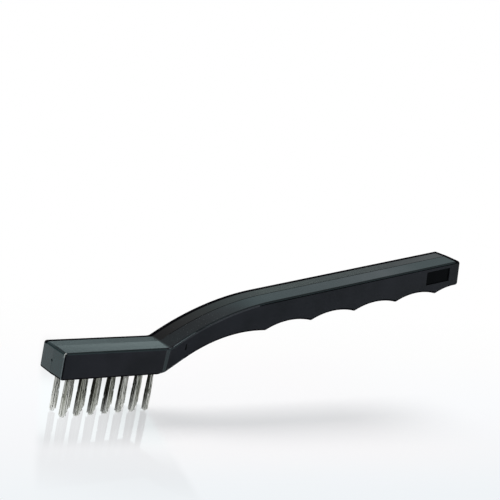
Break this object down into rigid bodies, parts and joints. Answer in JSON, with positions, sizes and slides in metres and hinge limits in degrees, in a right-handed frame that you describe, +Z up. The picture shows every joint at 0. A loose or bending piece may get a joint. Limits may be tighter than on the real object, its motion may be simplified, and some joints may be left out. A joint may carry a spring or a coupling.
{
  "type": "wire scratch brush",
  "caption": "Hand brush with a bent moulded plastic handle, a finger-scalloped grip and rows of stiff steel wire tufts for scratching off rust, paint and scale.",
  "frame": {"origin": "centre of the brush's length and width, on the plane of the wire tips", "axes": "+X along the brush head from its free end towards the end of the grip, +Y across the handle to the side without the sunken panel, +Z up, so that the wires point down"},
  "size_m": [0.1854, 0.0142, 0.0562],
  "materials": {
    "handle_plastic": "moulded black polypropylene with a satin skin",
    "tuft_wire": "drawn stainless steel wire, dull and slightly olive",
    "anchor_steel": "flat steel strip, cut and unpolished"
  },
  "bodies": {
    "root": {"handle": "handle_plastic", "tuft_near_1": "tuft_wire", "tuft_near_2": "tuft_wire", "tuft_near_3": "tuft_wire", "tuft_near_4": "tuft_wire", "tuft_near_5": "tuft_wire", "tuft_near_6": "tuft_wire", "tuft_near_7": "tuft_wire", "tuft_middle_1": "tuft_wire", "tuft_middle_2": "tuft_wire", "tuft_middle_3": "tuft_wire", "tuft_middle_4": "tuft_wire", "tuft_middle_5": "tuft_wire", "tuft_middle_6": "tuft_wire", "tuft_far_1": "tuft_wire", "tuft_far_2": "tuft_wire", "tuft_far_3": "tuft_wire", "tuft_far_4": "tuft_wire", "tuft_far_5": "tuft_wire", "tuft_far_6": "tuft_wire", "tuft_far_7": "tuft_wire", "anchor_near_1": "anchor_steel", "anchor_near_2": "anchor_steel", "anchor_near_3": "anchor_steel", "anchor_near_4": "anchor_steel", "anchor_near_5": "anchor_steel", "anchor_near_6": "anchor_steel", "anchor_near_7": "anchor_steel", "anchor_middle_1": "anchor_steel", "anchor_middle_2": "anchor_steel", "anchor_middle_3": "anchor_steel", "anchor_middle_4": "anchor_steel", "anchor_middle_5": "anchor_steel", "anchor_middle_6": "anchor_steel", "anchor_far_1": "anchor_steel", "anchor_far_2": "anchor_steel", "anchor_far_3": "anchor_steel", "anchor_far_4": "anchor_steel", "anchor_far_5": "anchor_steel", "anchor_far_6": "anchor_steel", "anchor_far_7": "anchor_steel"}
  },
  "joints": []
}
